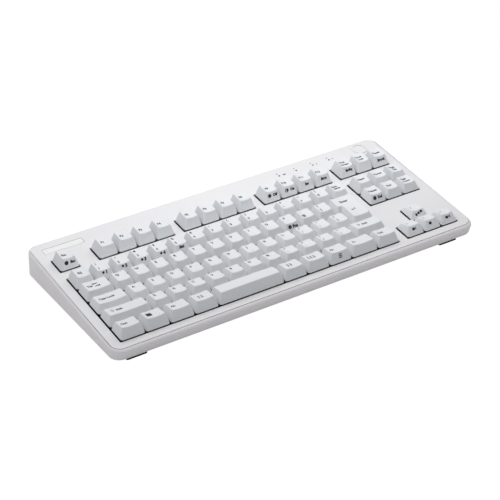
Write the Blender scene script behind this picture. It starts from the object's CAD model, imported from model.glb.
"""Looks of a tenkeyless keyboard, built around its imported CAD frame.

The typist sits at -y and +x runs to the right. Two working frames in mm are used:
the deck frame, tilted with the top cover, has x = 0 at the left of the key field, y = 0 at
its front and z = 0 on the deck surface; the plan frame is level, with z = 0 on the desk.
"""

import bpy
import bmesh
import math
from functools import lru_cache
import numpy as np
from mathutils import Matrix, Vector, geometry


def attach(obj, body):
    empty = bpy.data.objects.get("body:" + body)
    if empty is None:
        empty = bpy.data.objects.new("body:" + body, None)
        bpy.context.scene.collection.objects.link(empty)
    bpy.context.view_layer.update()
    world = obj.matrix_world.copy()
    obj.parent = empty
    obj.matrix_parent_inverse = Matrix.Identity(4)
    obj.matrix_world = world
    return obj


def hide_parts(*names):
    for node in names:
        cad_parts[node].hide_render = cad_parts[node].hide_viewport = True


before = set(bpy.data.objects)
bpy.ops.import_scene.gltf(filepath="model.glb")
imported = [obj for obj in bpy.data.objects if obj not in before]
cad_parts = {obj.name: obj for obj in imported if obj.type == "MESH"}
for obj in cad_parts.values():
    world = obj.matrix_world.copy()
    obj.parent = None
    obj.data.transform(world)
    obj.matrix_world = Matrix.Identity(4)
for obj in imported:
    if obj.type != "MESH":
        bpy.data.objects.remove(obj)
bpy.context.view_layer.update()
scene = bpy.context.scene

# ------------------------------------------------------------------ dimensions, mm
MM = 0.001
PITCH = 19.05
TILT = math.radians(6.04)
COS_TILT, SIN_TILT = math.cos(TILT), math.sin(TILT)
DECK_HEIGHT, DECK_X, PLAN_Y = 14.35, 176.2, 69.61  # deck height at y = 0, origin offsets

CASE_X0, CASE_X1, CASE_Y0, CASE_Y1, CASE_R = -12.2, 365.0, -10.94, 150.16, 11.0
DECK_Y0, DECK_Y1 = CASE_Y0 / COS_TILT, CASE_Y1 / COS_TILT  # case ends in the deck frame
BOTTOM, FLOOR, LEDGE, REAR_LEAN = 2.8, 4.1, 2.9, 2.4
COVER_T = 2.5
COVER_INSET = (2.3, 3.4)  # x, y
COVER_GAP = 0.22
RIM_INSET = (1.9, 3.0)  # x, y
FRONT_EDGE, REAR_EDGE = 0.3, 1.9  # radius of the cover's outer edge
OPEN_LEFT, OPEN_RIGHT, OPEN_Y = 0.6, 0.36, 0.12  # from the key cell to the opening's edge

CAP_GAP, CAP_BOTTOM, CAP_SIDE, CAP_WALL, CAP_ROOF = 0.45, 0.6, 3.1, 1.3, 1.7
DISH = 0.9
CROWN, CROWN_FALL = 0.7, 0.12  # rise along y and fall towards the ends of the space bar
PLUNGER_END, PLUNGER_R = -3.3, 2.7
GUIDE_X, GUIDE_R = 25, 1.8  # extra stems of the space bar
ROWS = {  # y in pitches, front edge height, rear edge height, front inset, rear inset
    "function": (5.5, 10.9, 11.2, 3.6, 1.8),
    "number": (4.0, 10.2, 10.2, 3.9, 1.5),
    "upper": (3.0, 8.5, 8.0, 4.6, 0.8),
    "home": (2.0, 8.0, 6.6, 4.6, 0.8),
    "lower": (1.0, 9.2, 6.7, 5.0, 1.0),
    "bottom": (0.0, 10.3, 7.8, 4.4, 1.4),
    "arrow_up": (1.0, 6.9, 4.4, 5.8, 0.6),
    "arrow": (0.0, 8.4, 5.2, 6.2, 1.3),
}

PAD_W, PAD_D, PAD_TOP, PAD_RECESS = 20.0, 7.0, 3.1, 3.4
PADS = {
    "front_left": (10.5, -3.9),
    "front_right": (336.0, -3.9),
    "rear_left": (10.5, 143.2),
    "rear_right": (2 * DECK_X - 10.5, 143.2),
}
FOOT_W, FOOT_LENGTH, FOOT_T = 30.0, 17.0, 4.2
PIN_R, HINGE_Y, HINGE_Z = 1.2, 133.2, 5.1
FEET_X = {"foot_left": 21.0, "foot_right": 2 * DECK_X - 21.0}
BAY_X0, BAY_X1, BAY_Y0, BAY_Y1, BAY_CEILING, BAY_WALL = 58.0, 168.0, 127.4, 145.8, 20.2, 1.2
BADGE_X0, BADGE_X1, BADGE_Y0, BADGE_Y1, BADGE_DEPTH = -0.7, 39.0, 134.0, 141.5, 0.9
LAMPS_Y, LAMPS_X, LAMP_R = 138.3, (247.7, 267.1, 286.2, 305.0), 0.95
POWER_X, POWER_Y, POWER_R, POWER_TOP = 341.5, 139.6, 5.6, 0.55
POWER_RING_R, POWER_RING_RISE = 7.7, 1.0
USB_X, USB_W, USB_H, USB_BELOW_DECK = 232.0, 9.0, 3.3, 11.5
POSTS = [(60, 60), (176, 60), (292, 60), (30, 105), (176, 105), (322, 105)]
POST_R = 3


def deck_world(points):
    """Deck frame in mm to the row frame in metres."""
    x, y, z = np.asarray(points, float).reshape(-1, 3).T
    level_y = y * COS_TILT - z * SIN_TILT - PLAN_Y
    return np.stack([x - DECK_X, level_y, DECK_HEIGHT + y * SIN_TILT + z * COS_TILT], 1) * MM


def plan_world(points):
    """Plan frame in mm to the row frame in metres."""
    return (np.asarray(points, float).reshape(-1, 3) - np.array([DECK_X, PLAN_Y, 0.0])) * MM


def deck_plane(depth, y):
    """Height above the desk of the plane at a depth below the deck surface."""
    return DECK_HEIGHT + y * math.tan(TILT) - depth / COS_TILT


# ------------------------------------------------------------------ shader tools
def blank_tree(owner):
    owner.use_nodes = True
    owner.node_tree.nodes.clear()
    return owner.node_tree


def node(tree, kind, inputs=None, **settings):
    """New shader node; an input given as a socket is linked, any other is set."""
    made = tree.nodes.new("ShaderNode" + kind)
    for key, value in settings.items():
        setattr(made, key, value)
    for key, value in (inputs or {}).items():
        if isinstance(value, bpy.types.NodeSocket):
            tree.links.new(value, made.inputs[key])
        else:
            made.inputs[key].default_value = value
    return made


def math_node(tree, operation, *values):
    return node(tree, "Math", dict(enumerate(values)), operation=operation).outputs[0]


def noise(tree, vector, scale, detail=3.0, rough=0.55):
    inputs = {"Scale": scale, "Detail": detail, "Roughness": rough, "Vector": vector}
    return node(tree, "TexNoise", inputs).outputs["Fac"]


def ramp(tree, fac, dark, light, start=0.3, end=0.7):
    made = node(tree, "ValToRGB", {"Fac": fac})
    for stop, place, colour in zip(made.color_ramp.elements, (start, end), (dark, light)):
        stop.position = place
        stop.color = (*colour, 1.0)
    return made.outputs["Color"]


def value_range(tree, value, low, high):
    inputs = {"Value": value, "To Min": low, "To Max": high}
    return node(tree, "MapRange", inputs).outputs["Result"]


def bump(tree, height, strength, distance, previous=None):
    inputs = {"Strength": strength, "Distance": distance, "Height": height}
    if previous is not None:
        inputs["Normal"] = previous
    return node(tree, "Bump", inputs).outputs["Normal"]


def start_material(name):
    mat = bpy.data.materials.new(name)
    tree = blank_tree(mat)
    return mat, tree, node(tree, "TexCoord").outputs


def principled(tree, inputs):
    bsdf = node(tree, "BsdfPrincipled", inputs)
    node(tree, "OutputMaterial", {"Surface": bsdf.outputs["BSDF"]})


# ------------------------------------------------------------------ materials
def dim_facing(tree, tone, amount, facing):
    """Tone darkened by amount on the faces turned to a direction."""
    normal = node(tree, "NewGeometry").outputs["Normal"]
    dot = node(tree, "VectorMath", {0: normal, 1: facing}, operation="DOT_PRODUCT")
    keep = node(tree, "MapRange", {
        "From Min": 0.2, "From Max": 0.85,
        "To Min": 1.0, "To Max": 1.0 - amount,
        "Value": dot.outputs["Value"],
    })
    inputs = {0: tone, "Scale": keep.outputs["Result"]}
    return node(tree, "VectorMath", inputs, operation="SCALE").outputs["Vector"]


def plastic(name, dark, light, rough, grain, depth, spec=0.5, side=0.0, front=0.0):
    """Moulded plastic: fine grain, slow tone drift and uneven gloss.

    side and front darken the faces turned to the left and to the typist.
    """
    mat, tree, coord = start_material(name)
    place = coord["Object"]
    slow = noise(tree, place, scale=18.0, detail=2.0)
    fine = noise(tree, place, scale=grain, detail=2.0, rough=0.6)
    drift = value_range(tree, slow, low=0.0, high=0.7)
    tone = ramp(tree, math_node(tree, "MULTIPLY_ADD", fine, 0.3, drift), dark, light, 0.25, 0.75)
    for amount, facing in ((side, (-1.0, 0.0, 0.0)), (front, (0.0, -1.0, 0.0))):
        if amount:
            tone = dim_facing(tree, tone, amount, facing)
    gloss = value_range(tree, noise(tree, place, scale=240.0), rough - 0.05, rough + 0.05)
    grain_normal = bump(tree, fine, strength=0.35, distance=depth)
    waves = noise(tree, place, scale=60.0, detail=1.0)
    principled(tree, {
        "Base Color": tone,
        "Roughness": gloss,
        "Specular IOR Level": spec,
        "Normal": bump(tree, waves, strength=0.2, distance=depth * 4, previous=grain_normal),
    })
    return mat


def lamp_material():
    mat, tree, coord = start_material("smoky_lamp")
    place = coord["Object"]
    smoke = noise(tree, place, scale=900.0, detail=2.0)
    principled(tree, {
        "Base Color": ramp(tree, smoke, dark=(0.04, 0.018, 0.016), light=(0.07, 0.035, 0.03)),
        "Roughness": 0.45,
        "Specular IOR Level": 0.15,
        "Normal": bump(tree, noise(tree, place, scale=1500.0, detail=1.0),
                       strength=0.1, distance=1e-5),
    })
    return mat


def steel_material():
    """Steel with fine lines brushed along x."""
    mat, tree, coord = start_material("stamped_steel")
    stretched = node(tree, "Mapping", {"Scale": (1, 12, 12), "Vector": coord["Object"]})
    brush = noise(tree, stretched.outputs["Vector"], scale=900.0, detail=4.0, rough=0.65)
    principled(tree, {
        "Base Color": ramp(tree, brush, dark=(0.5, 0.51, 0.52), light=(0.66, 0.67, 0.68)),
        "Metallic": 1.0,
        "Roughness": value_range(tree, brush, low=0.3 - 0.08, high=0.3 + 0.1),
        "Normal": bump(tree, brush, strength=0.25, distance=6e-6),
    })
    return mat


def board_material():
    mat, tree, coord = start_material("solder_mask")
    tracks = node(tree, "TexBrick", {
        "Scale": 260.0,
        "Color1": (0.012, 0.07, 0.03, 1),
        "Color2": (0.015, 0.09, 0.038, 1),
        "Mortar": (0.03, 0.14, 0.06, 1),
        "Mortar Size": 0.04,
        "Vector": coord["Object"],
    }).outputs
    principled(tree, {
        "Base Color": tracks["Color"],
        "Roughness": 0.35,
        "Coat Weight": 0.3,
        "Normal": bump(tree, tracks["Fac"], strength=0.2, distance=2e-5),
    })
    return mat


def sleeve_material():
    """Printed battery sleeve: a dark body with a plain pale band at one end."""
    mat, tree, coord = start_material("battery_sleeve")
    along = node(tree, "SeparateXYZ", {0: coord["Generated"]}).outputs["X"]
    grain = noise(tree, coord["Object"], scale=500.0)
    body = ramp(tree, grain, dark=(0.018, 0.028, 0.06), light=(0.03, 0.045, 0.085))
    band = math_node(tree, "GREATER_THAN", along, 0.72)
    inputs = {"Factor": band, "A": body, "B": (0.55, 0.48, 0.3, 1)}
    principled(tree, {
        "Base Color": node(tree, "Mix", inputs, data_type="RGBA").outputs["Result"],
        "Roughness": 0.28,
        "Metallic": 0.35,
        "Normal": bump(tree, grain, strength=0.1, distance=1e-5),
    })
    return mat


CASE_PLASTIC = plastic(
    "case_plastic", dark=(0.735, 0.714, 0.728), light=(0.78, 0.759, 0.773),
    rough=0.5, grain=3200.0, depth=1.2e-5,
)
COVER_PLASTIC = plastic(
    "cover_plastic", dark=(0.758, 0.754, 0.77), light=(0.803, 0.799, 0.815),
    rough=0.5, grain=3200.0, depth=1.2e-5,
)
CAP_PLASTIC = {
    tone: plastic(
        "cap_plastic_" + tone, dark=(0.765, 0.781, 0.804), light=(0.80, 0.816, 0.839),
        rough=0.52, grain=4200.0, depth=9e-6, side=0.08, front=front,
    )
    for tone, front in (("rear", -0.1), ("middle", 0.02), ("front", 0.08))
}
CAP_TONE = {"function": "rear", "number": "rear", "home": "middle"}  # other rows: front
SEAM_PLASTIC = plastic(
    "shaded_edge", dark=(0.32, 0.225, 0.14), light=(0.38, 0.28, 0.19),
    rough=0.7, grain=3200.0, depth=1.2e-5, spec=0.3,
)
BADGE_PLASTIC = plastic(
    "badge_plastic", dark=(0.84, 0.835, 0.83), light=(0.88, 0.875, 0.87),
    rough=0.35, grain=2000.0, depth=3e-6,
)
BLACK_PLATE = plastic(
    "black_powder_coat", dark=(0.006, 0.006, 0.007), light=(0.012, 0.012, 0.014),
    rough=0.65, grain=2600.0, depth=2e-5, spec=0.3,
)
INK = plastic(
    "legend_ink", dark=(0.02, 0.022, 0.04), light=(0.03, 0.034, 0.055),
    rough=0.55, grain=5000.0, depth=3e-6, spec=0.3,
)
BLACK_INK = plastic(
    "front_legend_ink", dark=(0.008, 0.009, 0.014), light=(0.016, 0.018, 0.026),
    rough=0.5, grain=5000.0, depth=3e-6, spec=0.3,
)
GREY_INK = plastic(
    "deck_ink", dark=(0.06, 0.06, 0.07), light=(0.09, 0.09, 0.1),
    rough=0.5, grain=5000.0, depth=3e-6, spec=0.3,
)
DOME_RUBBER = plastic(
    "silicone_sheet", dark=(0.16, 0.165, 0.18), light=(0.2, 0.205, 0.22),
    rough=0.6, grain=2600.0, depth=1e-5, spec=0.4,
)
RUBBER = plastic(
    "foot_rubber", dark=(0.012, 0.012, 0.014), light=(0.026, 0.026, 0.028),
    rough=0.85, grain=1500.0, depth=5e-5, spec=0.25,
)
LAMP = lamp_material()
STEEL = steel_material()
BOARD = board_material()
SLEEVE = sleeve_material()


# ------------------------------------------------------------------ mesh tools
class Mesh:
    """Vertices in metres in the row frame, faces, and a material number per face."""

    def __init__(self):
        self.verts, self.faces, self.mats = [], [], []

    def add(self, verts, faces, mat=0):
        base = len(self.verts)
        self.verts.extend(map(tuple, verts))
        self.faces.extend(tuple(base + i for i in face) for face in faces)
        self.mats.extend([mat] * len(faces))

    def deck(self, verts, faces, mat=0):
        self.add(deck_world(verts), faces, mat)

    def plan(self, verts, faces):
        self.add(plan_world(verts), faces)


def finish_mesh(data, sharp_deg):
    """Smooth faces, with sharp edges where the surface turns by more than sharp_deg."""
    bm = bmesh.new()
    bm.from_mesh(data)
    bmesh.ops.remove_doubles(bm, verts=bm.verts, dist=2e-7)
    bmesh.ops.dissolve_degenerate(bm, edges=bm.edges, dist=1e-7)
    limit = math.radians(sharp_deg)
    for face in bm.faces:
        face.smooth = True
    for edge in bm.edges:
        edge.smooth = len(edge.link_faces) == 2 and edge.calc_face_angle(0.0) < limit
    bm.to_mesh(data)
    bm.free()


def piece(name, mesh, mats, body, replaces=(), sharp=32.0, weighted=True):
    """Object of a Mesh or of Blender mesh data, registered with the frame."""
    if isinstance(mesh, Mesh):
        data = bpy.data.meshes.new(name)
        data.from_pydata(mesh.verts, [], mesh.faces)
        data.polygons.foreach_set("material_index", mesh.mats)
    else:
        data = mesh
        data.name = name
    finish_mesh(data, sharp)
    data.materials.clear()
    for mat in mats:
        data.materials.append(mat)
    obj = bpy.data.objects.new(name, data)
    scene.collection.objects.link(obj)
    if weighted:
        modifier = obj.modifiers.new("weighted_normals", "WEIGHTED_NORMAL")
        modifier.keep_sharp = True
        modifier.weight = 70
    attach(obj, body)
    if replaces:
        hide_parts(*replaces)


def arc(cx, cy, r, start, end, count):
    """Points of an arc, both ends included."""
    return [(cx + r * math.cos(a), cy + r * math.sin(a)) for a in np.linspace(start, end, count)]


def circle(cx, cy, r, count, sense=1):
    """Points of a circle, counter-clockwise; clockwise with sense -1."""
    angles = [sense * 2 * math.pi * i / count for i in range(count)]
    return np.array([(cx + r * math.cos(a), cy + r * math.sin(a)) for a in angles])


def raised(loop, height):
    """Outline with a height, given as a number or as a function of y."""
    z = height(loop[:, 1]) if callable(height) else np.full(len(loop), height)
    return np.column_stack([loop, z])


def ring_rect(x0, x1, y0, y1, r, nx, ny, nc):
    """Rounded rectangle, counter-clockwise from the middle of its left side.

    nx, ny and nc count the points of a side along x, a side along y (even) and a corner.
    """
    points = []

    def side(ax, ay, bx, by, count):
        for i in range(count):
            share = i / count
            points.append((ax + (bx - ax) * share, ay + (by - ay) * share))

    def corner(cx, cy, start):
        for i in range(nc):
            angle = math.radians(start + 90.0 * i / nc)
            points.append((cx + r * math.cos(angle), cy + r * math.sin(angle)))

    mid = (y0 + y1) / 2
    side(x0, mid, x0, y0 + r, ny // 2)
    corner(x0 + r, y0 + r, 180)
    side(x0 + r, y0, x1 - r, y0, nx)
    corner(x1 - r, y0 + r, 270)
    side(x1, y0 + r, x1, y1 - r, ny)
    corner(x1 - r, y1 - r, 0)
    side(x1 - r, y1, x0 + r, y1, nx)
    corner(x0 + r, y1 - r, 90)
    side(x0, y1 - r, x0, mid, ny // 2)
    return np.array(points)


def rounded_loop(corners, steps):
    """Closed outline from (x, y, radius) corners, in either sense."""
    points = []
    count = len(corners)
    for i in range(count):
        before, here, after = (np.array(corners[k % count][:2], float) for k in (i - 1, i, i + 1))
        radius = corners[i][2]
        back = (before - here) / np.linalg.norm(before - here)
        ahead = (after - here) / np.linalg.norm(after - here)
        half = math.acos(float(back @ ahead)) / 2
        length = radius / math.tan(half)
        bisector = (back + ahead) / np.linalg.norm(back + ahead)
        centre = here + bisector * radius / math.sin(half)
        start, end = here + back * length - centre, here + ahead * length - centre
        total = math.atan2(start[0] * end[1] - start[1] * end[0], float(start @ end))
        for k in range(steps + 1):
            cos, sin = math.cos(total * k / steps), math.sin(total * k / steps)
            turned = [start[0] * cos - start[1] * sin, start[0] * sin + start[1] * cos]
            points.append(centre + np.array(turned))
    return np.array(points)


def rounded_rect(x0, x1, y0, y1, r, steps, rear_r=None, clockwise=False):
    """Rounded rectangle that starts at its corner of least x and y."""
    rear_r = r if rear_r is None else rear_r
    corners = [(x0, y0, r), (x1, y0, r), (x1, y1, rear_r), (x0, y1, rear_r)]
    if clockwise:
        corners = corners[:1] + corners[:0:-1]
    return rounded_loop(corners, steps)


def ring_faces(count, rings, base=0, closed=False):
    """Quads between rings of count points; closed joins the last ring to the first."""
    faces = []
    for k in range(rings if closed else rings - 1):
        low, high = base + k * count, base + (k + 1) % rings * count
        for i in range(count):
            j = (i + 1) % count
            faces.append((low + i, low + j, high + j, high + i))
    return faces


def loft_faces(count, rings, flip=False):
    """Sides of a stack of rings with one polygon over each end; flip turns them over."""
    sides = ring_faces(count, rings)
    first = tuple(range(count))
    last = tuple((rings - 1) * count + i for i in range(count))
    if flip:
        return [face[:1] + face[:0:-1] for face in sides] + [first, last[::-1]]
    return sides + [first[::-1], last]


def ladder(count, base, flip=False):
    """Faces across a ring of count points that starts at the middle of its left side."""
    faces = []
    for a in range(count // 2):
        b = a + 1
        face = (base + a, base + b, base + count - b, base + (count - a) % count)
        if a == 0:
            face = face[:3]
        elif b == count // 2:
            face = (face[0], face[1], face[3])
        faces.append(face[::-1] if flip else face)
    return faces


def ladder_stack(rings):
    """Solid over a stack of rings, with ladders of faces across both ends."""
    count = len(rings[0])
    faces = ring_faces(count, len(rings))
    faces += ladder(count, (len(rings) - 1) * count) + ladder(count, 0, flip=True)
    return np.concatenate(rings), faces


def lathe(profile, cx, cy, count):
    """Solid turned about an upright axis; the (r, z) profile runs from axis to axis."""
    verts, faces, starts = [], [], []
    for r, z in profile:
        starts.append(len(verts))
        ring = circle(cx, cy, r, count) if r else [(cx, cy)]
        verts.extend((x, y, z) for x, y in ring)
    for k in range(len(profile) - 1):
        low, high = starts[k], starts[k + 1]
        for i in range(count):
            j = (i + 1) % count
            if not profile[k][0]:
                faces.append((low, high + j, high + i))
            elif not profile[k + 1][0]:
                faces.append((low + i, low + j, high))
            else:
                faces.append((low + i, low + j, high + j, high + i))
    return verts, faces


def loop_lathe(profile, cx, cy, count):
    """Turned ring: the profile is a closed loop off the axis, counter-clockwise in (r, z)."""
    verts = [(x, y, z) for r, z in profile for x, y in circle(cx, cy, r, count)]
    return verts, ring_faces(count, len(profile), closed=True)


# ------------------------------------------------------------------ keycaps
CAP_SEGMENTS = (12, 6, 6)  # side along x, side along y, corner
SIDE_POWER, FRONT_POWER, REAR_POWER = 1.25, 1.08, 1.3  # curve of each wall
FOOT_LIP, FOOT_LIP_H = 0.18, 0.2
R_FOOT, R_TOP = 2.3, 1.4
ROLL = 0.5  # length of wall and of top taken up by the rounded edge


class Cap:
    """One keycap in the deck frame, with the shape of its top as a function."""

    hollow_r = 0.8
    hollow_extra = 0.0  # height added to the roof when the lean of the hollow is set

    def __init__(self, row, x, width, body):
        y, self.front_z, self.rear_z, self.front_in, self.rear_in = ROWS[row]
        self.row, self.body = row, body
        self.crowned = body == "key_space"
        self.place(x, x + width, y, y + 1)

    def place(self, left, right, front, rear):
        """Foot and top rectangles of a cap over a cell given in pitches."""
        self.x0, self.x1 = left * PITCH + CAP_GAP, right * PITCH - CAP_GAP
        self.y0, self.y1 = front * PITCH + CAP_GAP, rear * PITCH - CAP_GAP
        self.top_x0, self.top_x1 = self.x0 + CAP_SIDE, self.x1 - CAP_SIDE
        self.top_y0, self.top_y1 = self.y0 + self.front_in, self.y1 - self.rear_in
        self.mid_x, self.mid_y = (self.x0 + self.x1) / 2, (front + rear) / 2 * PITCH

    def top(self, x, y):
        """Height of the top surface."""
        back = (y - self.top_y0) / (self.top_y1 - self.top_y0)
        across = (x - self.mid_x) / ((self.top_x1 - self.top_x0) / 2)
        z = self.front_z + back * (self.rear_z - self.front_z)
        if self.crowned:
            return z + 4 * CROWN * back * (1 - back) - CROWN_FALL * across * across
        return z - DISH * (1 - across * across)

    def on_top(self, ring):
        return np.column_stack([ring, self.top(ring[:, 0], ring[:, 1])])

    def outline(self, side, front, rear, r):
        """Outline inset from the foot."""
        return ring_rect(
            self.x0 + side, self.x1 - side, self.y0 + front, self.y1 - rear, r, *CAP_SEGMENTS
        )

    def wall(self, share):
        """Outline of the wall at a share of its height, with the height of each point."""
        ring = self.outline(
            CAP_SIDE * share**SIDE_POWER,
            self.front_in * share**FRONT_POWER,
            self.rear_in * share**REAR_POWER,
            R_FOOT + (R_TOP - R_FOOT) * share,
        )
        return np.column_stack([ring, CAP_BOTTOM + share * (self.edge[:, 2] - CAP_BOTTOM)])

    def front(self, x, up, lift):
        """Point on the front face at deck x and up mm from its foot, lifted off the face."""
        share = min(max(up / (self.front_z - CAP_BOTTOM), 0.0), 1.0)
        half = (self.x1 - self.x0) / 2 - CAP_SIDE * share**SIDE_POWER
        across = (x - self.mid_x) / half
        top_x = self.mid_x + across * (self.top_x1 - self.top_x0) / 2
        height = self.top(top_x, self.top_y0) - CAP_BOTTOM
        length = math.hypot(height, self.front_in)
        share = max(up / length, 0.0)
        y = self.y0 + self.front_in * share**FRONT_POWER
        z = CAP_BOTTOM + share * height
        return (x, y - height / length * lift, z + self.front_in / length * lift)

    def inward(self, ring):
        """Outlines inwards over the top, turning from the rounded rectangle to an oval."""
        half = np.array([
            (self.top_x1 - self.top_x0) / 2 - ROLL, (self.top_y1 - self.top_y0) / 2 - ROLL
        ])
        mid = np.array([self.mid_x, (self.top_y0 + self.top_y1) / 2])
        unit = (ring - mid) / half
        angle = np.arctan2(unit[:, 1], unit[:, 0])
        oval = np.column_stack([np.cos(angle), np.sin(angle)])
        for s in (1 / 3, 2 / 3, 1.0):
            yield mid + ((1 - s) * unit * (1 - 0.25 * s) + s * oval * 0.72) * half

    def outer_rings(self):
        """Rings from the foot up the wall, over the rounded edge and inwards."""
        self.edge = self.on_top(self.outline(CAP_SIDE, self.front_in, self.rear_in, R_TOP))
        foot = self.wall(0.0)
        lip = np.column_stack([self.outline(FOOT_LIP, FOOT_LIP, FOOT_LIP, R_FOOT), foot[:, 2]])
        foot[:, 2] += FOOT_LIP_H
        rings = [lip, foot] + [self.wall(share) for share in (0.2, 0.4, 0.6, 0.78)]
        start = self.wall(1 - ROLL / (min(self.front_z, self.rear_z) - CAP_BOTTOM))
        inner = self.outline(
            CAP_SIDE + ROLL, self.front_in + ROLL, self.rear_in + ROLL, R_TOP - ROLL * 0.35
        )
        end = self.on_top(inner)
        for s in (0.0, 0.17, 0.34, 0.5, 0.66, 0.83, 1.0):
            rings.append((1 - s) ** 2 * start + 2 * s * (1 - s) * self.edge + s**2 * end)
        return rings + [self.on_top(ring) for ring in self.inward(inner)]

    def hollow_rings(self, roof):
        """Rings of the hollow, from its mouth up to its roof."""
        rise = roof - CAP_BOTTOM
        lean = (rise + self.hollow_extra) / (max(self.front_z, self.rear_z) - CAP_BOTTOM)
        rings = []
        for share in (0.0, 0.5, 1.0):
            s = lean * share
            insets = [CAP_WALL + full * s for full in (CAP_SIDE, self.front_in, self.rear_in)]
            rings.append(raised(self.outline(*insets, self.hollow_r), CAP_BOTTOM + share * rise))
        return rings

    def solid(self, stack):
        return ladder_stack(stack)

    def build(self):
        mesh = Mesh()
        low = min(self.front_z, self.rear_z)
        roof = low - (0 if self.crowned else DISH) - CAP_ROOF
        outer = self.outer_rings()
        # roof of the hollow, down, round the foot, up and over
        mesh.deck(*self.solid(self.hollow_rings(roof)[::-1] + outer))
        stems = [(self.mid_x, PLUNGER_R)]
        if self.crowned:
            stems += [(self.mid_x - GUIDE_X, GUIDE_R), (self.mid_x + GUIDE_X, GUIDE_R)]
        for x, r in stems:
            profile = [
                (0, PLUNGER_END), (r - 0.4, PLUNGER_END), (r, PLUNGER_END + 0.4),
                (r, roof + 0.6), (0, roof + 0.6),
            ]
            mesh.deck(*lathe(profile, x, self.mid_y, 24))
        return mesh


ENTER_LEFT, ENTER_FOLD, ENTER_RIGHT = 13.5, 13.75, 15.0  # pitches; the fold is the lower left


class EnterCap(Cap):
    """L-shaped cap over two rows, wider at the rear."""

    hollow_r = 0.9
    hollow_extra = DISH
    hub = np.array([14.42 * PITCH, 3.36 * PITCH])  # point the top faces run in to

    def __init__(self, body):
        self.row, self.body, self.crowned = "upper", body, False
        self.front_z = self.rear_z = 8.0
        self.front_in, self.rear_in = ROWS["home"][3], ROWS["upper"][4]
        self.place(ENTER_LEFT, ENTER_RIGHT, 2, 4)
        self.mid_x = (ENTER_FOLD + ENTER_RIGHT) / 2 * PITCH

    def top(self, x, y):
        """Dished about a centre line that follows the narrower front part."""
        blend = np.clip((3 * PITCH + 5.0 - y) / 4.0, 0, 1)
        blend = blend * blend * (3 - 2 * blend)
        left = self.top_x0 + blend * (ENTER_FOLD - ENTER_LEFT) * PITCH
        centre, half = (left + self.top_x1) / 2, (self.top_x1 - left) / 2
        across = np.clip((x - centre) / half, -1.15, 1.15)
        return self.front_z - DISH * (1 - across * across)

    def outline(self, side, front, rear, r):
        x0, fold, x1 = self.x0 + side, ENTER_FOLD * PITCH + CAP_GAP + side, self.x1 - side
        y0, y1 = self.y0 + front, self.y1 - rear
        step = 3 * PITCH + CAP_GAP + front
        corners = [  # x, y, direction in, direction out, radius, points to the next corner
            (fold, y0, (0, -1), (1, 0), r, 10),
            (x1, y0, (1, 0), (0, 1), r, 16),
            (x1, y1, (0, 1), (-1, 0), r, 10),
            (x0, y1, (-1, 0), (0, -1), r, 8),
            (x0, step, (0, -1), (1, 0), min(r, 1.6), 2),
            (fold, step, (1, 0), (0, -1), 1.1, 8),
        ]
        arcs = []
        for x, y, way_in, way_out, radius, _ in corners:
            corner = np.array([x, y])
            start = corner - np.array(way_in) * radius
            end = corner + np.array(way_out) * radius
            centre = start + end - corner
            arcs.append([
                centre + (start - centre) * math.cos(a) + (end - centre) * math.sin(a)
                for a in (i / 6 * math.pi / 2 for i in range(7))
            ])
        points = []
        for k, bend in enumerate(arcs):
            points += bend
            gap = arcs[(k + 1) % 6][0] - bend[-1]
            count = corners[k][5]
            points += [bend[-1] + gap * i / count for i in range(1, count)]
        return np.array(points)

    def inward(self, ring):
        for share in (0.88, 0.74, 0.6, 0.46, 0.32, 0.18):
            yield self.hub + (ring - self.hub) * share

    def solid(self, stack):
        """Both ends are closed by fans about the hub."""
        count = len(stack[0])
        faces = ring_faces(count, len(stack))
        last, top_hub = (len(stack) - 1) * count, len(stack) * count
        for i in range(count):
            j = (i + 1) % count
            faces.append((last + i, last + j, top_hub))
            faces.append((j, i, top_hub + 1))
        hubs = [(*self.hub, self.top(*self.hub)), (*self.hub, stack[0][0, 2])]
        return np.concatenate(stack + [np.array(hubs)]), faces


KEYS = {  # row: name, x and width in pitches
    "function": [
        ("esc", 0, 1), ("f1", 2, 1), ("f2", 3, 1), ("f3", 4, 1), ("f4", 5, 1),
        ("f5", 6.5, 1), ("f6", 7.5, 1), ("f7", 8.5, 1), ("f8", 9.5, 1),
        ("f9", 11, 1), ("f10", 12, 1), ("f11", 13, 1), ("f12", 14, 1),
        ("print_screen", 15.5, 1), ("scroll_lock", 16.5, 1), ("pause", 17.5, 1),
    ],
    "number": [("language", 0, 1), ("backspace", 14, 1)],
    "upper": [("tab", 0, 1.5)],
    "home": [("caps_lock", 0, 1.75)],
    "lower": [("shift_left", 0, 2.25), ("shift_right", 13.25, 1.75)],
    "arrow_up": [("arrow_up", 16.5, 1)],
    "bottom": [
        ("ctrl_left", 0, 1.25), ("system", 1.25, 1.25), ("alt_left", 2.5, 1.25),
        ("nonconvert", 3.75, 1.25), ("space", 5, 3.5), ("convert", 8.5, 1.25),
        ("kana", 9.75, 1.25), ("alt_right", 11, 1.25), ("fn", 12.25, 1.5),
        ("ctrl_right", 13.75, 1.25),
    ],
    "arrow": [("arrow_left", 15.5, 1), ("arrow_down", 16.5, 1), ("arrow_right", 17.5, 1)],
}
BANKS = [  # body, row, x of the first key in pitches, names from left to right
    ("number_key_bank", "number", 1, "1 2 3 4 5 6 7 8 9 0 minus caret yen"),
    ("upper_letter_key_bank", "upper", 1.5, "q w e r t y u i o p at bracket_left"),
    ("home_letter_key_bank", "home", 1.75,
     "a s d f g h j k l semicolon colon bracket_right"),
    ("lower_letter_key_bank", "lower", 2.25, "z x c v b n m comma period slash backslash"),
    ("navigation_key_bank", "number", 15.5, "insert home page_up"),
    ("navigation_key_bank", "upper", 15.5, "delete end page_down"),
]
HOMING_BAR = [  # section: y, z above the top
    (-0.55, -0.1), (-0.42, 0.16), (-0.15, 0.3), (0.15, 0.3), (0.42, 0.16), (0.55, -0.1),
]


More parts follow.
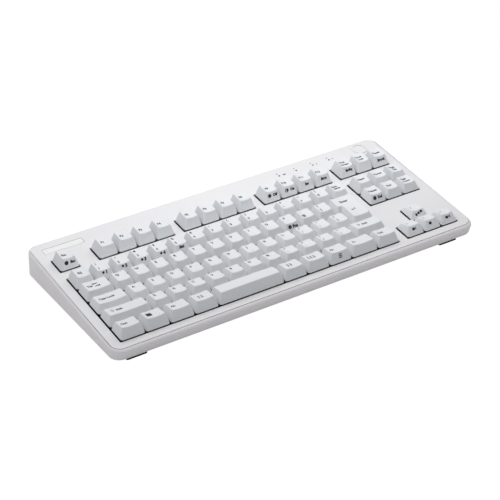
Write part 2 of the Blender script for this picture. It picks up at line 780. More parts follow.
def homing_bar(cap):
    """Bar near the front edge of the top, tapered at both ends."""
    mid_y = cap.top_y0 + 2.4
    verts = []
    stations = np.linspace(-2.0, 2.0, 9)
    for station in stations:
        taper = max(0.0, (abs(station) - 1.6) / 0.4)
        for dy, dz in HOMING_BAR:
            x, y = cap.mid_x + station, mid_y + dy * (1 - 0.6 * taper)
            verts.append((x, y, cap.top(x, y) + (dz if dz < 0 else dz * (1 - 0.9 * taper))))
    return verts, loft_faces(len(HOMING_BAR), len(stations), flip=True)


caps = {}
for row, keys in KEYS.items():
    for name, x, width in keys:
        caps[name] = Cap(row, x, width, "key_" + name)
for bank, row, x, names in BANKS:
    for i, name in enumerate(names.split()):
        caps[name] = Cap(row, x + i, 1, bank)
caps["enter"] = EnterCap("key_enter")

for name, cap in caps.items():
    mesh = cap.build()
    if name in ("f", "j"):
        mesh.deck(*homing_bar(cap))
    tone = CAP_PLASTIC[CAP_TONE.get(cap.row, "front")]
    piece("cap_" + name, mesh, [tone], cap.body, [cap.body], sharp=48.0)


# ------------------------------------------------------------------ printed shapes
# A shape is (vertices, faces) in mm, lying flat with z -0.5 and 0.5.
BOLD, FRONT_BOLD = 0.042, 0.075  # thickening of the letters


@lru_cache(maxsize=None)
def text_mesh(text, bold):
    """Line of text of font size 1."""
    curve = bpy.data.curves.new("t", "FONT")
    curve.body = text
    curve.size = 1.0
    curve.resolution_u = 3
    curve.extrude = 0.5
    curve.offset = bold
    obj = bpy.data.objects.new("t", curve)
    scene.collection.objects.link(obj)
    bpy.context.view_layer.update()
    data = bpy.data.meshes.new_from_object(
        obj.evaluated_get(bpy.context.evaluated_depsgraph_get())
    )
    verts = np.array([vert.co for vert in data.vertices], float).reshape(-1, 3)
    faces = [tuple(face.vertices) for face in data.polygons]
    bpy.data.objects.remove(obj)
    bpy.data.curves.remove(curve)
    bpy.data.meshes.remove(data)
    return verts, faces


FONT_CAP_HEIGHT = np.ptp(text_mesh("H", BOLD)[0][:, 1])


def glyphs(text, cap_height, bold=BOLD):
    """Line of text with capitals of the given height."""
    verts, faces = text_mesh(text, bold)
    verts = verts.copy()
    verts[:, :2] *= cap_height / FONT_CAP_HEIGHT
    return verts, faces


def front_glyphs(text, cap_height):
    return glyphs(text, cap_height, FRONT_BOLD)


def prism(points):
    """Prism over a counter-clockwise outline."""
    verts = [(x, y, z) for z in (-0.5, 0.5) for x, y in points]
    faces = loft_faces(len(points), 2)
    return np.array(verts, float), faces[-2:] + faces[:-2]


def disc(r):
    return prism(circle(0, 0, r, 20))


def rect(x0, y0, x1, y1):
    return prism([(x0, y0), (x1, y0), (x1, y1), (x0, y1)])


def hoop(r, wall, count=24):
    """Flat ring."""
    verts = [(x, y, z) for z in (-0.5, 0.5) for size in (r - wall, r)
             for x, y in circle(0, 0, size, count)]
    low_in, low_out, high_in, high_out = 0, count, 2 * count, 3 * count
    faces = []
    for i in range(count):
        j = (i + 1) % count
        faces.append((low_out + i, low_out + j, high_out + j, high_out + i))
        faces.append((low_in + j, low_in + i, high_in + i, high_in + j))
        faces.append((high_in + i, high_out + i, high_out + j, high_in + j))
        faces.append((low_in + j, low_out + j, low_out + i, low_in + i))
    return np.array(verts, float), faces


ARROW = [(-1, -0.12), (0.1, -0.12), (0.1, -0.5), (1, 0), (0.1, 0.5), (0.1, 0.12), (-1, 0.12)]


def arrow(size, turn):
    """Arrow of a shaft and a head, pointing along +x before the turn in degrees."""
    cos, sin = math.cos(math.radians(turn)), math.sin(math.radians(turn))
    return prism([(size * (x * cos - y * sin), size * (x * sin + y * cos)) for x, y in ARROW])


def stroke(start, end):
    """Straight line between two points, a little longer than their distance."""
    start, end = np.array(start), np.array(end)
    along = (end - start) / np.hypot(*(end - start))
    across, over = 0.19 * np.array([-along[1], along[0]]), 0.12 * along
    return prism([
        start - across - over, end - across + over, end + across + over, start + across - over
    ])


def centred(shape):
    """The shape moved so that the middle of its outline is at the origin."""
    verts, faces = shape
    verts = verts.copy()
    for k in (0, 1):
        verts[:, k] -= (verts[:, k].max() + verts[:, k].min()) / 2
    return verts, faces


# ------------------------------------------------------------------ legends
legends = {}  # body: Mesh of all its marks, material 0 on tops and 1 in black


def print_top(cap, shape, x, y, mat=0):
    """Shape on the top, its origin x from the left and y from the rear edge."""
    verts, faces = shape
    px, py = cap.top_x0 + x + verts[:, 0], cap.top_y1 - y + verts[:, 1]
    z = cap.top(px, py) + np.where(verts[:, 2] > 0, 0.03, -0.12)
    mesh = legends.setdefault(cap.body, Mesh())
    mesh.deck(np.column_stack([px, py, z]), faces, mat)


def mark(name, shape, across, back, mat=0):
    """Shape centred at shares of the top from its left and from its rear.

    On the enter key the share from the rear is of one half of the top.
    """
    cap = caps[name]
    width = cap.top_x1 - cap.top_x0
    depth = (cap.top_y1 - cap.top_y0) / (2 if name == "enter" else 1)
    print_top(cap, centred(shape), across * width, back * depth, mat)


def label(name, text, height, across, back):
    mark(name, glyphs(text, height), across, back)


def front_mark(name, shape, across, up):
    """Shape centred at shares across the foot and up the front face."""
    cap = caps[name]
    length = math.hypot(cap.front_z - DISH * 0.6 - CAP_BOTTOM, cap.front_in)
    verts, faces = centred(shape)
    left, low = cap.x0 + across * (cap.x1 - cap.x0), up * length
    points = [cap.front(left + x, low + y, 0.05 if z > 0 else -0.12) for x, y, z in verts]
    legends.setdefault(cap.body, Mesh()).deck(points, faces, 1)


for letter in "qwertyuiopasdfghjklzxcvbnm":
    label(letter, letter.upper(), 2.95, 0.31, 0.31)

PAIRS = [  # key, rear mark, front mark
    ("1", "!", "1"), ("2", '"', "2"), ("3", "#", "3"), ("4", "$", "4"), ("5", "%", "5"),
    ("6", "&", "6"), ("7", "'", "7"), ("8", "(", "8"), ("9", ")", "9"), ("0", "", "0"),
    ("minus", "=", "-"), ("caret", "~", "^"), ("yen", "|", "\u00a5"),
    ("at", "`", "@"), ("bracket_left", "{", "["), ("semicolon", "+", ";"),
    ("colon", "*", ":"), ("bracket_right", "}", "]"), ("comma", "<", ","),
    ("period", ">", "."), ("slash", "?", "/"), ("backslash", "_", "\\"),
]
for name, rear_text, front_text in PAIRS:
    if rear_text:
        label(name, rear_text, 2.7, 0.24, 0.22)
    label(name, front_text, 2.85, 0.24, 0.72)

for i in range(1, 13):
    label(f"f{i}", f"F{i}", 2.75, 0.31, 0.56)
for entry in [  # key, text, height, shares from the left and from the rear
    ("esc", "Esc", 2.7, 0.33, 0.58),
    ("language", "E/J", 2.8, 0.38, 0.56),
    ("tab", "Tab", 2.5, 0.2, 0.55),
    ("caps_lock", "Caps Lock", 2.65, 0.39, 0.52),
]:
    label(*entry)

SHIFT_ARROW = [  # strokes of a hollow arrow
    ((0, 0), (1.55, 1.7)), ((1.55, 1.7), (3.1, 0)), ((0, 0), (0.9, 0)), ((3.1, 0), (2.2, 0)),
    ((0.9, 0), (0.9, -1.3)), ((2.2, 0), (2.2, -1.3)), ((0.9, -1.3), (2.2, -1.3)),
]
for name in ("shift_left", "shift_right"):
    cap = caps[name]
    for start, end in SHIFT_ARROW:
        print_top(cap, stroke(start, end), 3.9, 0.44 * (cap.top_y1 - cap.top_y0))
    label(name, "Shift", 2.6, 11.7 / (cap.top_x1 - cap.top_x0), 0.49)

for entry in [
    ("ctrl_left", "Ctrl", 2.8, 0.29, 0.5),
    ("ctrl_right", "Ctrl", 2.8, 0.29, 0.5),
    ("alt_left", "Alt", 2.6, 0.24, 0.5),
    ("alt_right", "Alt", 2.6, 0.24, 0.5),
    ("fn", "Fn", 2.6, 0.2, 0.5),
    ("enter", "Enter", 2.9, 0.47, 0.46),
]:
    label(*entry)
for name, first, second in [
    ("print_screen", "Print", "Screen"), ("scroll_lock", "Scroll", "Lock"),
    ("page_up", "Page", "Up"), ("page_down", "Page", "Down"), ("backspace", "Back", "space"),
]:
    label(name, first, 2.45, 0.36, 0.4)
    label(name, second, 2.45, 0.42, 0.69)
for name in ("insert", "home", "delete", "end", "pause"):
    label(name, name.title(), 2.65, 0.42, 0.54)

for name, turn in (("up", 90), ("left", 180), ("down", 270), ("right", 0)):
    mark("arrow_" + name, arrow(1.5, turn), 0.3, 0.42)
# each tab arrow has a thick shaft and a stop bar behind its tail or beyond its head
for turn, across, back, shaft, stop in (
    (180, 0.48, 0.38, 0.02, -0.105), (0, 0.5, 0.66, -0.02, 0.105)
):
    mark("tab", arrow(2.1, turn), across, back)
    mark("tab", rect(-1.7, -0.42, 1.7, 0.42), across + shaft, back)
    mark("tab", rect(-0.42, -1.3, 0.42, 1.3), across + stop, back)
mark("enter", arrow(2.2, 180), 0.5, 1.36)
mark("enter", rect(-0.35, -0.1, 0.35, 2.1), 0.6, 1.3)
mark("system", rect(-2.5, -2.3, 2.5, 2.3), 0.28, 0.5, mat=1)
# plain barred marks in place of characters: key, number of marks, share of the first
for name, count, first in (("nonconvert", 2, 0.34), ("convert", 2, 0.34), ("kana", 3, 0.2)):
    for k in range(count):
        across = first + 0.17 * k
        for back in (0.36, 0.5, 0.64):
            mark(name, rect(0, 0, 2.0, 0.5), across, back)
        mark(name, rect(0, 0, 0.5, 3.1), across + 0.02 * (k - 1), 0.5)

for name in "1234":
    front_mark(name, disc(1.15), 0.43, 0.76)
    front_mark(name, front_glyphs(name, 2.9), 0.6, 0.75)
for entry in [  # key, shape, share across, share up
    ("esc", disc(1.9), 0.34, 0.6),
    ("esc", front_glyphs("Esc", 2.5), 0.67, 0.6),
    ("5", front_glyphs("Set", 2.7), 0.52, 0.74),
    ("f9", disc(1.8), 0.33, 0.62),
    ("f9", front_glyphs("Off", 2.5), 0.66, 0.62),
    ("f10", hoop(1.8, 0.65), 0.32, 0.62),
    ("f10", disc(1.2), 0.37, 0.62),
    ("f10", front_glyphs("On", 2.5), 0.66, 0.62),
    ("f11", front_glyphs("Ins", 2.6), 0.52, 0.64),
    ("f12", front_glyphs("Scrn", 2.7), 0.52, 0.64),
    ("print_screen", front_glyphs("SysRq", 2.4), 0.54, 0.62),
    ("pause", front_glyphs("Break", 2.6), 0.54, 0.62),
    ("p", disc(1.8), 0.35, 0.6),
    ("p", front_glyphs("Prn", 2.9), 0.66, 0.58),
    ("delete", disc(1.9), 0.32, 0.6),
    ("delete", front_glyphs("Del", 2.5), 0.64, 0.6),
]:
    front_mark(*entry)
for k in range(3):
    front_mark("arrow_up", disc(1.3), 0.35 + 0.16 * k, 0.52 + 0.11 * k)
for name, waves in (("arrow_left", 1), ("arrow_down", 0), ("arrow_right", 2)):
    front_mark(name, disc(1.4), 0.45, 0.64)
    front_mark(name, rect(0, -1.0, 1.2, 1.0), 0.385, 0.64)
    for k in range(waves):
        half = 1.1 + 0.3 * k
        front_mark(name, rect(0, -half, 0.7, half), 0.57 + 0.07 * k, 0.65)
for k in range(3):
    front_mark("alt_right", rect(0, 0, 3.4, 0.85), 0.5, 0.44 + 0.15 * k)

for body, mesh in legends.items():
    name = "legend_" + body.removeprefix("key_")
    piece(name, mesh, [INK, BLACK_INK], body, weighted=False)


# ------------------------------------------------------------------ plates with openings
def shift_loop(loop, distance):
    """The loop moved to its left by a distance, one number or one per point."""
    before, after = loop - np.roll(loop, 1, 0), np.roll(loop, -1, 0) - loop
    before /= np.linalg.norm(before, axis=1)[:, None] + 1e-12
    after /= np.linalg.norm(after, axis=1)[:, None] + 1e-12
    normal = np.column_stack([-before[:, 1], before[:, 0]])
    mitre = normal + np.column_stack([-after[:, 1], after[:, 0]])
    mitre /= np.linalg.norm(mitre, axis=1)[:, None]
    mitre /= np.maximum((mitre * normal).sum(1), 0.35)[:, None]
    return loop + mitre * np.broadcast_to(np.asarray(distance, float), (len(loop),))[:, None]


def plate(loops, top_profiles, bottom_profile):
    """Solid plate with holes: the outer loop counter-clockwise, then clockwise holes.

    A profile is a list of (inset, z), each a number or one value per point. Every loop
    has its own top profile; they share the bottom one.
    """
    verts, faces, tops, bottoms = [], [], [], []
    for loop, top_profile in zip(loops, top_profiles):
        profile = bottom_profile + top_profile
        count, base = len(loop), len(verts)
        for inset, z in profile:
            heights = np.broadcast_to(np.asarray(z, float), (count,))
            verts.extend((x, y, h) for (x, y), h in zip(shift_loop(loop, inset), heights))
        faces += ring_faces(count, len(profile), base)
        bottoms.append((base, count))
        tops.append((base + (len(profile) - 1) * count, count))
    for group, flip in ((tops, False), (bottoms, True)):
        index = [base + i for base, count in group for i in range(count)]
        outlines = [
            [Vector((*verts[base + i][:2], 0)) for i in range(count)] for base, count in group
        ]
        for triangle in geometry.tessellate_polygon(outlines):
            a, b, c = (index[i] for i in triangle)
            pa, pb, pc = (np.array(verts[i][:2]) for i in (a, b, c))
            area = (pb - pa)[0] * (pc - pa)[1] - (pb - pa)[1] * (pc - pa)[0]
            if abs(area) < 1e-9:
                continue
            faces.append((a, b, c) if (area > 0) != flip else (a, c, b))
    return verts, faces


def slab(x0, x1, y0, y1, r, top, bottom):
    """Plate over one rounded rectangle."""
    return plate([rounded_rect(x0, x1, y0, y1, r, 4)], [top], bottom)


def edge_profile(r, count):
    """Quarter-round from a vertical wall up to the deck surface."""
    angles = np.linspace(0, math.pi / 2, count)
    return [(r * (1 - math.cos(a)), -r * (1 - math.sin(a))) for a in angles]


# ------------------------------------------------------------------ top cover
def cover_outline():
    """Front and sides inside the rim, rear over the wall, widening at the rear corners."""
    inset_x, inset_y = COVER_INSET[0] + COVER_GAP, COVER_INSET[1] + COVER_GAP
    x0, x1 = CASE_X0 + inset_x, CASE_X1 - inset_x + 0.65
    front_r = CASE_R - inset_x
    front_y = DECK_Y0 + inset_y + front_r
    rear_x0, rear_x1, rear_y = CASE_X0 + 0.1, CASE_X1 - 0.1, DECK_Y1 - 0.1
    rear_r = CASE_R - 0.1
    # where each straight inner side meets the rear corner arc of the case outline
    left_end = math.acos((rear_r - (x0 - rear_x0)) / rear_r)
    right_start = math.acos((rear_r - (rear_x1 - x1)) / rear_r)
    pi = math.pi
    return np.array(
        arc(x0 + front_r, front_y, front_r, pi, 1.5 * pi, 13)
        + arc(x1 - front_r, front_y, front_r, 1.5 * pi, 2 * pi, 13)
        + arc(rear_x1 - rear_r, rear_y - rear_r, rear_r, right_start, pi / 2, 13)
        + arc(rear_x0 + rear_r, rear_y - rear_r, rear_r, pi / 2, pi - left_end, 13)
    )


def opening(left, right, front, rear):
    """Opening round a block of key cells given in pitches."""
    return rounded_rect(
        left * PITCH - OPEN_LEFT, right * PITCH + OPEN_RIGHT,
        front * PITCH - OPEN_Y, rear * PITCH + OPEN_Y, 1.0, 6, clockwise=True,
    )


def arrow_opening():
    """Opening of the arrow keys, an upturned T."""
    x0, x1, x2, x3 = (
        15.5 * PITCH - OPEN_LEFT, 16.5 * PITCH - OPEN_LEFT,
        17.5 * PITCH + OPEN_RIGHT, 18.5 * PITCH + OPEN_RIGHT,
    )
    y0, y1, y2 = -OPEN_Y, PITCH + OPEN_Y, 2 * PITCH + OPEN_Y
    corners = [(x0, y0), (x0, y1), (x1, y1), (x1, y2), (x2, y2), (x2, y1), (x3, y1), (x3, y0)]
    return rounded_loop([(x, y, 1.0) for x, y in corners], 6)


def shaded(points):
    """Whether a quad is a buried edge, seen only through the seam or round the badge."""
    (x0, y0, _), (x1, y1, top) = points.min(0), points.max(0)
    seam = top < -0.25 and y1 < DECK_Y1 - 12.0 and (x1 < -5 or y1 < -4) and x0 < 356
    badge = (
        top < -0.1
        and BADGE_X0 - 0.5 < x0 and x1 < BADGE_X1 + 0.5
        and BADGE_Y0 - 0.5 < y0 and y1 < BADGE_Y1 + 0.5
    )
    return seam or badge


def cover_plate(cover):
    outer = cover_outline()
    key_holes = [
        opening(0, 1, 5.5, 6.5),
        opening(2, 6, 5.5, 6.5),
        opening(6.5, 10.5, 5.5, 6.5),
        opening(11, 15, 5.5, 6.5),
        opening(15.5, 18.5, 5.5, 6.5),
        opening(0, 15, 0, 5),
        opening(15.5, 18.5, 3, 5),
        arrow_opening(),
    ]
    small_holes = [
        rounded_rect(BADGE_X0, BADGE_X1, BADGE_Y0, BADGE_Y1, 0.6, 4, clockwise=True)
    ] + [circle(x, LAMPS_Y, LAMP_R, 24, -1) for x in LAMPS_X]
    power_hole = circle(POWER_X, POWER_Y, POWER_R + 0.35, 48, -1)
    # the outer edge turns over softly at the rear, with a small radius elsewhere
    rear = np.clip((outer[:, 1] - (DECK_Y1 - 12.0)) / 9.0, 0, 1)
    rear = rear * rear * (3 - 2 * rear)
    top_profiles = [edge_profile(FRONT_EDGE + (REAR_EDGE - FRONT_EDGE) * rear, 9)]
    top_profiles += [edge_profile(0.35, 6)] * len(key_holes)
    top_profiles += [edge_profile(0.15, 6)] * len(small_holes)
    top_profiles.append(edge_profile(0.05, 6))
    verts, faces = plate(
        [outer, *key_holes, *small_holes, power_hole],
        top_profiles,
        [(0.2, -COVER_T), (0.0, -COVER_T + 0.2)],
    )
    cover.deck(verts, faces)
    for i, face in enumerate(faces):
        if len(face) == 4 and shaded(np.array([verts[k] for k in face])):
            cover.mats[i] = 1


def cover_skirt(cover):
    """Wall under the cover, inside the ledge of the lower case."""

    def outline(side, front, rear):
        return rounded_rect(
            CASE_X0 + side, CASE_X1 - side, DECK_Y0 + front, DECK_Y1 - rear, 5.0, 6
        )

    outer, inner = outline(4.4, 6.1, 3.4), outline(5.8, 7.5, 4.4)
    low, high = -4.6, -COVER_T + 0.1
    rings = [raised(inner, low), raised(outer, low), raised(outer, high), raised(inner, high)]
    cover.deck(np.concatenate(rings), ring_faces(len(outer), 4, closed=True))


def power_ring(cover):
    """Raised ring round the power button."""
    inner, outer, rise = POWER_R + 0.1, POWER_RING_R, POWER_RING_RISE
    profile = [
        (inner, -COVER_T + 0.1), (outer + 0.55, -COVER_T + 0.1), (outer + 0.55, -0.05),
        (outer + 0.3, 0.02), (outer + 0.12, 0.16), (outer + 0.05, 0.35),
    ]
    profile += arc(outer - 0.4, rise - 0.4, 0.4, 0, math.pi / 2, 6)
    profile += arc(inner + 0.15, rise - 0.15, 0.15, math.pi / 2, math.pi, 6)
    cover.deck(*loop_lathe(profile, POWER_X, POWER_Y, 72))


cover = Mesh()
cover_plate(cover)
cover_skirt(cover)
cover.deck(*slab(  # floor of the badge recess
    BADGE_X0 - 1, BADGE_X1 + 1, BADGE_Y0 - 1, BADGE_Y1 + 1, 0.6,
    top=[(0.0, -BADGE_DEPTH)], bottom=[(0.0, -COVER_T - 0.1)],
))
power_ring(cover)
piece(
    "cover_shell", cover, [COVER_PLASTIC, SEAM_PLASTIC], "case", ["top_cover"],
    sharp=40.0,
)

# ------------------------------------------------------------------ badge, lamps, power button
badge = Mesh()
badge.deck(*slab(
    BADGE_X0 + 0.45, BADGE_X1 - 0.45, BADGE_Y0 + 0.45, BADGE_Y1 - 0.45, 0.4,
    top=[(0.0, -0.25), (0.06, -0.12), (0.2, -0.05)], bottom=[(0.0, -BADGE_DEPTH + 0.02)],
))
piece("badge_face", badge, [BADGE_PLASTIC], "case", ["badge_plate"])

lamps = Mesh()
lens_r = LAMP_R - 0.03
LENS = [
    (0, -3.2), (lens_r, -3.2), (lens_r, -0.12), (lens_r - 0.1, -0.02),
    (lens_r * 0.55, 0.06), (0, 0.09),
]
for x in LAMPS_X:
    lamps.deck(*lathe(LENS, x, LAMPS_Y, 32))
lamps.deck(*slab(  # bar that joins the lamps under the cover
    LAMPS_X[0] - 3, LAMPS_X[3] + 3, LAMPS_Y - 2, LAMPS_Y + 2, 0.8,
    top=[(0.0, -3.05), (0.15, -2.9)], bottom=[(0.0, -4.4)],
))
piece("lamp_pipe", lamps, [LAMP], "case", ["indicator_light_pipe"])

LAMP_TICK = rect(-0.45, -0.7, 0.45, 0.7)
LAMP_MARKS = [  # lamp number, shape, offset from the lamp
    (0, LAMP_TICK, -0.6, 3.4),
    (0, rect(-1.4, -0.75, 1.2, 0.75), 5.6, -0.2),
    (0, rect(1.2, -0.35, 1.6, 0.35), 5.6, -0.2),
    (1, LAMP_TICK, -0.6, 3.4),
    (2, LAMP_TICK, -0.6, 3.4),
    (2, centred(glyphs("A", 1.6)), 4.4, 0.0),
    (3, LAMP_TICK, -0.6, 3.4),
    (3, hoop(0.8, 0.3), 4.2, 0.0),
]
marks = Mesh()
for lamp, (verts, faces), dx, dy in LAMP_MARKS:
    z = np.where(verts[:, 2] > 0, 0.015, -0.1)
    x, y = LAMPS_X[lamp] + dx + verts[:, 0], LAMPS_Y + dy + verts[:, 1]
    marks.deck(np.column_stack([x, y, z]), faces)
piece("lamp_marks", marks, [GREY_INK], "case", weighted=False)

button = Mesh()
button.deck(*lathe(
    [
        (0, -6.2), (1.5, -6.2), (1.6, -6.1), (1.6, -4.6),
        (POWER_R + 1.1, -4.6), (POWER_R + 1.1, -3.0), (POWER_R, -3.0),
        *arc(POWER_R - 0.35, POWER_TOP - 0.35, 0.35, 0, math.pi / 2, 6),
        (POWER_R * 0.7, POWER_TOP - 0.04), (POWER_R * 0.35, POWER_TOP - 0.1),
        (0, POWER_TOP - 0.12),
    ],
    POWER_X, POWER_Y, 72,
))
piece("power_button_cap", button, [COVER_PLASTIC], "power_button", ["power_button"])


# ------------------------------------------------------------------ lower case
def loft_object(rings, to_world=plan_world, name="cutter"):
    data = bpy.data.meshes.new(name)
    verts = [tuple(vert) for vert in to_world(np.concatenate(rings))]
    data.from_pydata(verts, [], loft_faces(len(rings[0]), len(rings)))
    obj = bpy.data.objects.new(name, data)
    scene.collection.objects.link(obj)
    return obj


def box_object(x0, x1, y0, y1, z0, z1):
    loop = np.array([(x0, y0), (x1, y0), (x1, y1), (x0, y1)])
    return loft_object([raised(loop, z0), raised(loop, z1)])


def pocket_object(x0, x1, y0, y1, z1, r, chamfer=0.0):
    """Rounded box up to z1 that cuts a pocket into the underside."""

    def ring(z, grow=0.0):
        return raised(rounded_rect(x0 - grow, x1 + grow, y0 - grow, y1 + grow, r, 4), z)

    if not chamfer:
        return loft_object([ring(BOTTOM - 1), ring(z1)])
    return loft_object([
        ring(BOTTOM - 1, chamfer), ring(BOTTOM, chamfer), ring(BOTTOM + chamfer), ring(z1)
    ])


def boolean(obj, other, operation):
    """Apply a boolean to obj and remove the other object."""
    modifier = obj.modifiers.new("b", "BOOLEAN")
    modifier.operation = operation
    modifier.solver = "EXACT"
    modifier.object = other
    bpy.context.view_layer.update()
    data = bpy.data.meshes.new_from_object(
        obj.evaluated_get(bpy.context.evaluated_depsgraph_get())
    )
    obj.modifiers.clear()
    old = obj.data
    obj.data = data
    bpy.data.meshes.remove(old)
    bpy.data.objects.remove(other)


def case_ring(side, front, rear, height):
    """Case outline with insets; the corners tighten with the side inset."""
    loop = rounded_rect(
        CASE_X0 + side, CASE_X1 - side, CASE_Y0 + front, CASE_Y1 - rear, CASE_R - side, 12
    )
    return raised(loop, height)


def lower_ring(side, front, rear, height, extra):
    """Ring of the lower edge, whose bevel widens from the front to the rear."""

    def share(y):
        return np.clip((y - CASE_Y0 - 8.0) / (CASE_Y1 - CASE_Y0 - 8.0), 0.0, 1.0)

    ring = case_ring(side, front, rear, lambda y: BOTTOM + height * (1 + 3.0 * share(y)))
    middle = (CASE_X0 + CASE_X1) / 2
    ring[:, 0] -= np.sign(ring[:, 0] - middle) * extra * share(ring[:, 1])
    return ring


LOWER_EDGE = [  # side, front and rear insets, height, extra side inset at the rear
    (2.2, 3.4, 1.4 - REAR_LEAN, 0.0, 2.3),
    (1.6, 2.75, 0.8 - REAR_LEAN, 0.08, 1.9),
    (1.1, 2.25, 0.3 - REAR_LEAN, 0.35, 1.15),
    (0.8, 1.95, -REAR_LEAN, 0.8, 0.0),
]
WALL_TOP = 2.8  # depth below the deck where the leaning wall ends
RIM = [  # depth below the deck, side inset, front and rear inset
    (2.35, 0.04, 0.05), (1.95, 0.11, 0.18), (1.6, 0.22, 0.37), (1.3, 0.35, 0.63),
    (1.05, 0.5, 0.9), (0.82, 0.68, 1.22), (0.62, 0.88, 1.56), (0.46, 1.1, 1.92),
    (0.35, 1.32, 2.25), (0.29, 1.52, 2.52), (0.26, 1.7, 2.78),
]


def case_block():
    """Solid body of the lower case; its rim leans in from the wall to the cover's seam."""
    rings = [lower_ring(*entry) for entry in LOWER_EDGE]
    side, front, _, start, _ = LOWER_EDGE[-1]
    for s in np.linspace(0, 1, 4)[1:]:
        rings.append(case_ring(
            side * (1 - s), front * (1 - s), -REAR_LEAN * (1 - s),
            lambda y: BOTTOM + start + s * (deck_plane(WALL_TOP, y) - BOTTOM - start),
        ))
    for depth, side, end in RIM:
        # the rear inset of the rim is nil
        rings.append(case_ring(side, end, 0.0, lambda y: deck_plane(depth, y)))
    return loft_object(rings, name="case_shell")


def seat_cutter():
    """Space of the cover inside the rim, open at the rear."""

    def ring(z, grow=0.0):
        inset_x, inset_y = RIM_INSET[0] - grow, RIM_INSET[1] - grow
        return raised(
            rounded_rect(
                CASE_X0 + inset_x, CASE_X1 - inset_x, DECK_Y0 + inset_y, DECK_Y1 + 20,
                CASE_R - inset_x, 12, rear_r=3.0,
            ),
            z,
        )

    return loft_object([ring(-LEDGE), ring(-0.5), ring(-0.3, 0.1), ring(5, 0.2)], deck_world)


def cavity_cutter():
    def ring(side, front, rear, height):
        loop = rounded_rect(
            CASE_X0 + side, CASE_X1 - side, CASE_Y0 + front, CASE_Y1 - rear, 5.0, 5
        )
        return raised(loop, height)

    return loft_object([
        ring(4.2, 5.4, 3.0 - REAR_LEAN, FLOOR), ring(4.0, 5.2, 2.8, lambda y: deck_plane(-2, y))
    ])


def usb_cutter():
    """Rounded socket in the rear wall, flared towards the outside."""
    mid_z = deck_plane(USB_BELOW_DECK, CASE_Y1)

    def ring(y, grow):
        w, h = USB_W / 2 + 0.35 + grow, USB_H / 2 + 0.35 + grow
        loop = rounded_rect(
            USB_X - w, USB_X + w, mid_z - h, mid_z + h, h * 0.8, 6, clockwise=True
        )
        return np.array([(x, y, z) for x, z in loop])

    return loft_object([ring(CASE_Y1 - 8, 0), ring(CASE_Y1 + 0.1, 0), ring(CASE_Y1 + 1.3, 0.7)])


def build_lower_case():
    shell = case_block()
    boolean(shell, seat_cutter(), "DIFFERENCE")
    boolean(shell, cavity_cutter(), "DIFFERENCE")
    base = FLOOR - 0.4  # added parts start inside the floor
    for x in FEET_X.values():
        x0, x1, y0, y1, wall = x - 17, x + 17, HINGE_Y - 17.8, HINGE_Y + 2.9, 1.4
        box = box_object(x0 - wall, x1 + wall, y0 - wall, y1 + wall, base, 9.4)
        boolean(shell, box, "UNION")
        boolean(shell, pocket_object(x0, x1, y0, y1, 8.0, r=0.8, chamfer=0.25), "DIFFERENCE")
    box = box_object(
        BAY_X0 - BAY_WALL, BAY_X1 + BAY_WALL, BAY_Y0 - BAY_WALL, BAY_Y1 + BAY_WALL,
        base, BAY_CEILING + BAY_WALL,
    )
    boolean(shell, box, "UNION")
    bay = pocket_object(BAY_X0, BAY_X1, BAY_Y0, BAY_Y1, BAY_CEILING, r=1.0, chamfer=0.2)
    boolean(shell, bay, "DIFFERENCE")
    for x, y in PADS.values():
        recess = pocket_object(
            x - PAD_W / 2 - 0.3, x + PAD_W / 2 + 0.3, y - PAD_D / 2 - 0.3, y + PAD_D / 2 + 0.3,
            PAD_RECESS, r=1.6,
        )
        boolean(shell, recess, "DIFFERENCE")
    boolean(shell, usb_cutter(), "DIFFERENCE")
    for x, y in POSTS:
        loop = circle(x, y, POST_R, 16)
        post = loft_object([raised(loop, base), raised(loop, deck_plane(9.9, y - POST_R))])
        boolean(shell, post, "UNION")
    data = shell.data
    bpy.data.objects.remove(shell)
    piece("case_shell", data, [CASE_PLASTIC], "case", ["lower_case"], sharp=30.0)


build_lower_case()

# ------------------------------------------------------------------ rubber feet
PAD_RINGS = [(0.9, 0.0), (0.6, 0.0), (0.28, 0.12), (0.08, 0.35), (0.0, 0.7), (0.0, PAD_TOP)]
for place, (x, y) in PADS.items():
    rings = []
    for inset, z in PAD_RINGS:
        half_w, half_d = PAD_W / 2 - inset, PAD_D / 2 - inset
        loop = ring_rect(
            x - half_w, x + half_w, y - half_d, y + half_d, 1.7 - inset * 0.8, 10, 4, 6
        )
        rings.append(raised(loop, z))
    pad = Mesh()
    pad.plan(*ladder_stack(rings))
    piece("pad_" + place, pad, [RUBBER], "case", ["rubber_foot_" + place])


# ------------------------------------------------------------------ fold-out feet
def grip_rib(x, half_length, y, z, shoulder, crest):
    """Low rib along x under a downward face at height z."""
    section = [(-0.35, 0.1), (-0.2, -shoulder), (0.0, -crest), (0.2, -shoulder), (0.35, 0.1)]
    ends = (x - half_length, x + half_length)
    verts = [(end, y + dy, z + dz) for end in ends for dy, dz in section]
    return verts, loft_faces(5, 2, flip=True)


def flap_profile():
    """Side view of the flap as (y, z) about the hinge, round at the hinge end."""
    half = FOOT_T / 2
    return np.array(
        arc(0, 0, half, -math.pi / 2, math.pi / 2, 17)
        + arc(-FOOT_LENGTH + 1.2, half - 1.2, 1.2, math.pi / 2, math.pi, 6)
        + arc(-FOOT_LENGTH + 0.9, -half + 0.9, 0.9, math.pi, 1.5 * math.pi, 6)
    )


def flap(x):
    """Flap across x, its two end faces bevelled."""
    profile = flap_profile()
    stations = [  # x, inset
        (x - FOOT_W / 2 + dx, inset)
        for dx, inset in [(0.0, 0.45), (0.12, 0.2), (0.35, 0.06), (0.6, 0.0)]
    ]
    stations += [(2 * x - px, inset) for px, inset in stations[::-1]]
    verts = [
        (px, HINGE_Y + dy, HINGE_Z + dz)
        for px, inset in stations
        for dy, dz in shift_loop(profile, inset)
    ]
    return verts, loft_faces(len(profile), len(stations))


